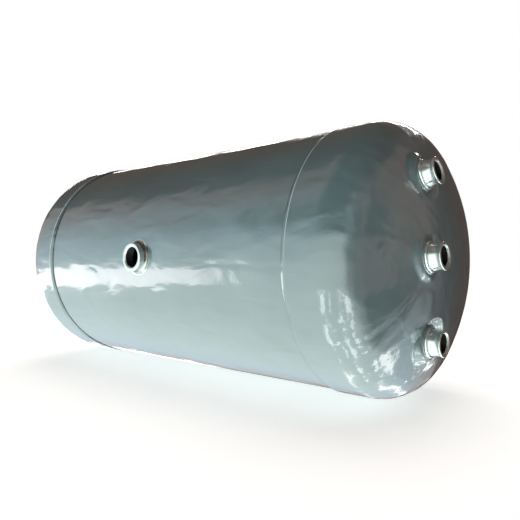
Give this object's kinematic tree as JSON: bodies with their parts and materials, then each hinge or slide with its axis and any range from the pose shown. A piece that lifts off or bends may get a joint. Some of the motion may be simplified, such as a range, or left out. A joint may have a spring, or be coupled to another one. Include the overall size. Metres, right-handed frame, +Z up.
{
  "type": "horizontal pressure tank",
  "caption": "Horizontal water pressure tank: an enamelled steel shell between dished heads, with flanged threaded couplings on one head and one on the side.",
  "frame": {"origin": "midway between the two girth welds, straight below the tank's axis, at the height of its lowest line", "axes": "+X along the tank's axis towards the head with the three couplings, -Y the side of the side coupling, +Z up"},
  "size_m": [1.0345, 0.4888, 0.4765],
  "materials": {
    "enamel": "gloss",
    "enamelled_weld": "gloss",
    "coupling_steel": "satin",
    "coupling_weld": "gloss"
  },
  "bodies": {
    "root": {"shell": "enamel", "head_right": "enamel", "head_left": "enamel", "straight_weld": "enamelled_weld", "girth_weld_right": "enamelled_weld", "girth_weld_left": "enamelled_weld", "coupling_top": "coupling_steel", "coupling_weld_top": "coupling_weld", "coupling_middle": "coupling_steel", "coupling_weld_middle": "coupling_weld", "coupling_bottom": "coupling_steel", "coupling_weld_bottom": "coupling_weld", "coupling_side": "coupling_steel", "coupling_collar_side": "coupling_weld"}
  },
  "joints": []
}
